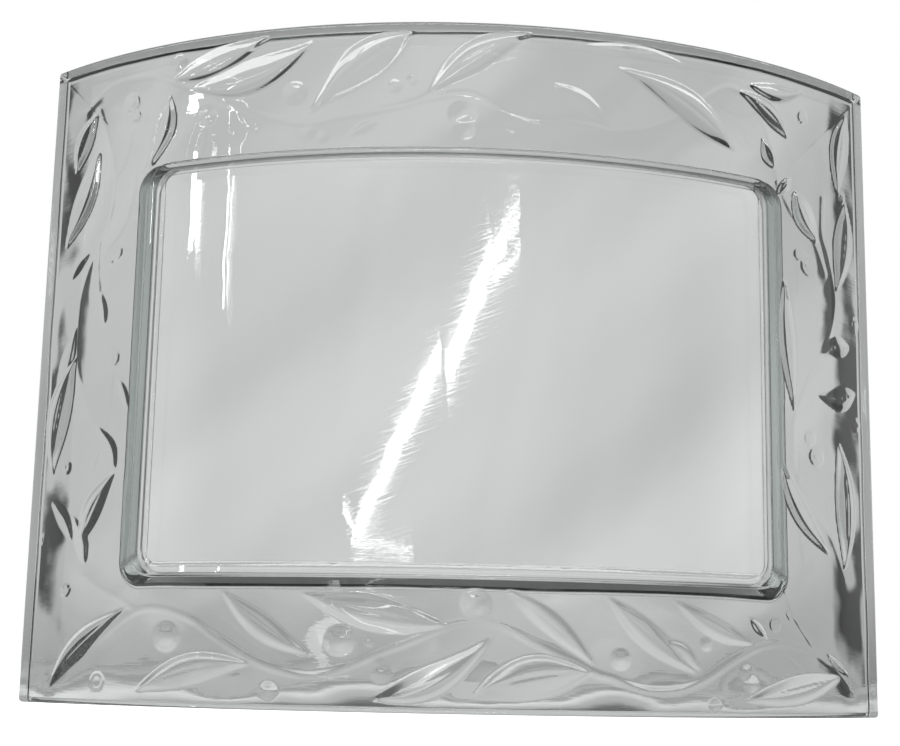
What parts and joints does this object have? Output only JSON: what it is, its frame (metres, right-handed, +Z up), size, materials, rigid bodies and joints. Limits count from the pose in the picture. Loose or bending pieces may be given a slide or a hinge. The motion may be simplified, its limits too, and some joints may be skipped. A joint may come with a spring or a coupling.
{
  "type": "curved glass photo frame",
  "caption": "Bowed pressed-glass frame with a vine in relief round a landscape window, and a clear sheet that springs into the pocket behind it.",
  "frame": {"origin": "centre of the bounding box of the frame at the level of the surface that it stands on", "axes": "+X to the right as seen from the front, +Y towards the hollow back, +Z up; the front bows towards -Y"},
  "size_m": [0.216, 0.0544, 0.165],
  "materials": {
    "pressed_glass": "fire-polished clear glass",
    "clear_sheet": "clear, faintly scuffed"
  },
  "bodies": {
    "frame": {"glass_body": "pressed_glass"},
    "sheet": {"retaining_sheet": "clear_sheet"}
  },
  "joints": [
    {"name": "sheet_slide", "type": "slide", "parent": "frame", "child": "sheet", "axis": [0, 1, 0], "range_m": [0, 0.06]}
  ]
}
